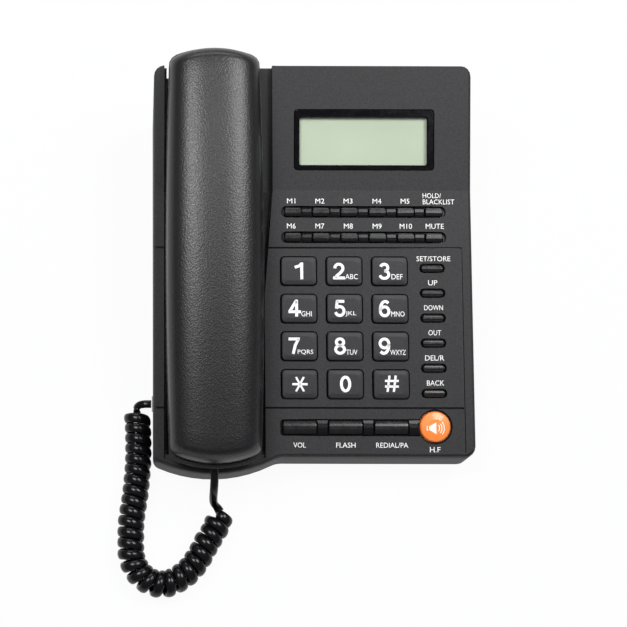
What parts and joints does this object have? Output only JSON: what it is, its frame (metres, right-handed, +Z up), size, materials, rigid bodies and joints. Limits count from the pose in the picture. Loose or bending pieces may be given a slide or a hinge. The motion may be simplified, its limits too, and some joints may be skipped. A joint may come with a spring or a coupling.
{
  "type": "corded desk telephone",
  "caption": "Corded desk telephone with a sloping key face, a bent-up display, a handset in a side cradle and a curly handset cord.",
  "frame": {"origin": "on the desk plane under the middle of the telephone with its handset on, without the cord", "axes": "+Z up, +Y towards the rear and the display, +X to the user's right, away from the handset"},
  "size_m": [0.1773, 0.2631, 0.0893],
  "materials": {
    "housing_plastic": "fine textured, dark grey",
    "handset_plastic": "fine leather grain, near black",
    "dial_key_plastic": "satin, dark grey",
    "small_key_plastic": "polished black",
    "orange_key_plastic": "satin orange",
    "bezel_plastic": "polished black",
    "window_plastic": "clear",
    "lcd_glass": "pale grey-green",
    "board_laminate": "green lacquer",
    "mat_rubber": "matt",
    "plated_steel": "plated",
    "plug_plastic": "clear",
    "socket_plastic": "satin",
    "foot_rubber": "matt",
    "cord_plastic": "glossy black"
  },
  "bodies": {
    "base": {"display_bezel": "bezel_plastic", "display_window": "window_plastic", "foot_front_left": "foot_rubber", "foot_front_right": "foot_rubber", "foot_rear_left": "foot_rubber", "foot_rear_right": "foot_rubber", "hands_free_speaker": "plated_steel", "handset_cord": "cord_plastic", "handset_socket": "socket_plastic", "keypad_mat": "mat_rubber", "lcd_panel": "lcd_glass", "line_socket": "socket_plastic", "lower_housing": "housing_plastic", "main_board": "board_laminate", "plug_base_end": "plug_plastic", "upper_housing": "housing_plastic"},
    "handset": {"handset_upper_shell": "handset_plastic", "handset_lower_shell": "handset_plastic", "earpiece_receiver": "plated_steel", "handset_microphone": "plated_steel", "handset_weight": "plated_steel", "handset_jack": "socket_plastic", "plug_handset_end": "plug_plastic"},
    "hook": {"hook_plunger": "socket_plastic"},
    "key_1_body": {"key_1": "dial_key_plastic"},
    "key_2_body": {"key_2": "dial_key_plastic"},
    "key_3_body": {"key_3": "dial_key_plastic"},
    "key_4_body": {"key_4": "dial_key_plastic"},
    "key_5_body": {"key_5": "dial_key_plastic"},
    "key_6_body": {"key_6": "dial_key_plastic"},
    "key_7_body": {"key_7": "dial_key_plastic"},
    "key_8_body": {"key_8": "dial_key_plastic"},
    "key_9_body": {"key_9": "dial_key_plastic"},
    "key_star_body": {"key_star": "dial_key_plastic"},
    "key_0_body": {"key_0": "dial_key_plastic"},
    "key_hash_body": {"key_hash": "dial_key_plastic"},
    "key_memory_1_body": {"key_memory_1": "small_key_plastic"},
    "key_memory_2_body": {"key_memory_2": "small_key_plastic"},
    "key_memory_3_body": {"key_memory_3": "small_key_plastic"},
    "key_memory_4_body": {"key_memory_4": "small_key_plastic"},
    "key_memory_5_body": {"key_memory_5": "small_key_plastic"},
    "key_hold_body": {"key_hold": "small_key_plastic"},
    "key_memory_6_body": {"key_memory_6": "small_key_plastic"},
    "key_memory_7_body": {"key_memory_7": "small_key_plastic"},
    "key_memory_8_body": {"key_memory_8": "small_key_plastic"},
    "key_memory_9_body": {"key_memory_9": "small_key_plastic"},
    "key_memory_10_body": {"key_memory_10": "small_key_plastic"},
    "key_mute_body": {"key_mute": "small_key_plastic"},
    "key_set_body": {"key_set": "small_key_plastic"},
    "key_up_body": {"key_up": "small_key_plastic"},
    "key_down_body": {"key_down": "small_key_plastic"},
    "key_delete_body": {"key_delete": "small_key_plastic"},
    "key_out_body": {"key_out": "small_key_plastic"},
    "key_call_back_body": {"key_call_back": "small_key_plastic"},
    "key_volume_body": {"key_volume": "small_key_plastic"},
    "key_flash_body": {"key_flash": "small_key_plastic"},
    "key_redial_body": {"key_redial": "small_key_plastic"},
    "key_hands_free_body": {"key_hands_free": "orange_key_plastic"}
  },
  "joints": [
    {"name": "handset_lift", "type": "slide", "parent": "base", "child": "handset", "axis": [0, -0.2079, 0.9781], "range_m": [0, 0.06]},
    {"name": "hook_plunger_rise", "type": "slide", "parent": "base", "child": "hook", "axis": [0, -0.2079, 0.9781], "range_m": [0, 0.004]},
    {"name": "key_1_press", "type": "slide", "parent": "base", "child": "key_1_body", "axis": [0, 0.2079, -0.9781], "range_m": [0, 0.0015], "stiffness_N_per_m": 300},
    {"name": "key_2_press", "type": "slide", "parent": "base", "child": "key_2_body", "axis": [0, 0.2079, -0.9781], "range_m": [0, 0.0015], "stiffness_N_per_m": 300},
    {"name": "key_3_press", "type": "slide", "parent": "base", "child": "key_3_body", "axis": [0, 0.2079, -0.9781], "range_m": [0, 0.0015], "stiffness_N_per_m": 300},
    {"name": "key_4_press", "type": "slide", "parent": "base", "child": "key_4_body", "axis": [0, 0.2079, -0.9781], "range_m": [0, 0.0015], "stiffness_N_per_m": 300},
    {"name": "key_5_press", "type": "slide", "parent": "base", "child": "key_5_body", "axis": [0, 0.2079, -0.9781], "range_m": [0, 0.0015], "stiffness_N_per_m": 300},
    {"name": "key_6_press", "type": "slide", "parent": "base", "child": "key_6_body", "axis": [0, 0.2079, -0.9781], "range_m": [0, 0.0015], "stiffness_N_per_m": 300},
    {"name": "key_7_press", "type": "slide", "parent": "base", "child": "key_7_body", "axis": [0, 0.2079, -0.9781], "range_m": [0, 0.0015], "stiffness_N_per_m": 300},
    {"name": "key_8_press", "type": "slide", "parent": "base", "child": "key_8_body", "axis": [0, 0.2079, -0.9781], "range_m": [0, 0.0015], "stiffness_N_per_m": 300},
    {"name": "key_9_press", "type": "slide", "parent": "base", "child": "key_9_body", "axis": [0, 0.2079, -0.9781], "range_m": [0, 0.0015], "stiffness_N_per_m": 300},
    {"name": "key_star_press", "type": "slide", "parent": "base", "child": "key_star_body", "axis": [0, 0.2079, -0.9781], "range_m": [0, 0.0015], "stiffness_N_per_m": 300},
    {"name": "key_0_press", "type": "slide", "parent": "base", "child": "key_0_body", "axis": [0, 0.2079, -0.9781], "range_m": [0, 0.0015], "stiffness_N_per_m": 300},
    {"name": "key_hash_press", "type": "slide", "parent": "base", "child": "key_hash_body", "axis": [0, 0.2079, -0.9781], "range_m": [0, 0.0015], "stiffness_N_per_m": 300},
    {"name": "key_memory_1_press", "type": "slide", "parent": "base", "child": "key_memory_1_body", "axis": [0, 0.2079, -0.9781], "range_m": [0, 0.0012], "stiffness_N_per_m": 300},
    {"name": "key_memory_2_press", "type": "slide", "parent": "base", "child": "key_memory_2_body", "axis": [0, 0.2079, -0.9781], "range_m": [0, 0.0012], "stiffness_N_per_m": 300},
    {"name": "key_memory_3_press", "type": "slide", "parent": "base", "child": "key_memory_3_body", "axis": [0, 0.2079, -0.9781], "range_m": [0, 0.0012], "stiffness_N_per_m": 300},
    {"name": "key_memory_4_press", "type": "slide", "parent": "base", "child": "key_memory_4_body", "axis": [0, 0.2079, -0.9781], "range_m": [0, 0.0012], "stiffness_N_per_m": 300},
    {"name": "key_memory_5_press", "type": "slide", "parent": "base", "child": "key_memory_5_body", "axis": [0, 0.2079, -0.9781], "range_m": [0, 0.0012], "stiffness_N_per_m": 300},
    {"name": "key_hold_press", "type": "slide", "parent": "base", "child": "key_hold_body", "axis": [0, 0.2079, -0.9781], "range_m": [0, 0.0012], "stiffness_N_per_m": 300},
    {"name": "key_memory_6_press", "type": "slide", "parent": "base", "child": "key_memory_6_body", "axis": [0, 0.2079, -0.9781], "range_m": [0, 0.0012], "stiffness_N_per_m": 300},
    {"name": "key_memory_7_press", "type": "slide", "parent": "base", "child": "key_memory_7_body", "axis": [0, 0.2079, -0.9781], "range_m": [0, 0.0012], "stiffness_N_per_m": 300},
    {"name": "key_memory_8_press", "type": "slide", "parent": "base", "child": "key_memory_8_body", "axis": [0, 0.2079, -0.9781], "range_m": [0, 0.0012], "stiffness_N_per_m": 300},
    {"name": "key_memory_9_press", "type": "slide", "parent": "base", "child": "key_memory_9_body", "axis": [0, 0.2079, -0.9781], "range_m": [0, 0.0012], "stiffness_N_per_m": 300},
    {"name": "key_memory_10_press", "type": "slide", "parent": "base", "child": "key_memory_10_body", "axis": [0, 0.2079, -0.9781], "range_m": [0, 0.0012], "stiffness_N_per_m": 300},
    {"name": "key_mute_press", "type": "slide", "parent": "base", "child": "key_mute_body", "axis": [0, 0.2079, -0.9781], "range_m": [0, 0.0012], "stiffness_N_per_m": 300},
    {"name": "key_set_press", "type": "slide", "parent": "base", "child": "key_set_body", "axis": [0, 0.2079, -0.9781], "range_m": [0, 0.0012], "stiffness_N_per_m": 300},
    {"name": "key_up_press", "type": "slide", "parent": "base", "child": "key_up_body", "axis": [0, 0.2079, -0.9781], "range_m": [0, 0.0012], "stiffness_N_per_m": 300},
    {"name": "key_down_press", "type": "slide", "parent": "base", "child": "key_down_body", "axis": [0, 0.2079, -0.9781], "range_m": [0, 0.0012], "stiffness_N_per_m": 300},
    {"name": "key_delete_press", "type": "slide", "parent": "base", "child": "key_delete_body", "axis": [0, 0.2079, -0.9781], "range_m": [0, 0.0012], "stiffness_N_per_m": 300},
    {"name": "key_out_press", "type": "slide", "parent": "base", "child": "key_out_body", "axis": [0, 0.2079, -0.9781], "range_m": [0, 0.0012], "stiffness_N_per_m": 300},
    {"name": "key_call_back_press", "type": "slide", "parent": "base", "child": "key_call_back_body", "axis": [0, 0.2079, -0.9781], "range_m": [0, 0.0012], "stiffness_N_per_m": 300},
    {"name": "key_volume_press", "type": "slide", "parent": "base", "child": "key_volume_body", "axis": [0, 0.2079, -0.9781], "range_m": [0, 0.0012], "stiffness_N_per_m": 300},
    {"name": "key_flash_press", "type": "slide", "parent": "base", "child": "key_flash_body", "axis": [0, 0.2079, -0.9781], "range_m": [0, 0.0012], "stiffness_N_per_m": 300},
    {"name": "key_redial_press", "type": "slide", "parent": "base", "child": "key_redial_body", "axis": [0, 0.2079, -0.9781], "range_m": [0, 0.0012], "stiffness_N_per_m": 300},
    {"name": "key_hands_free_press", "type": "slide", "parent": "base", "child": "key_hands_free_body", "axis": [0, 0.2079, -0.9781], "range_m": [0, 0.0015], "stiffness_N_per_m": 300}
  ],
  "couplings": [
    {"joint": "hook_plunger_rise", "follows": "handset_lift", "ratio": 0.066667}
  ]
}
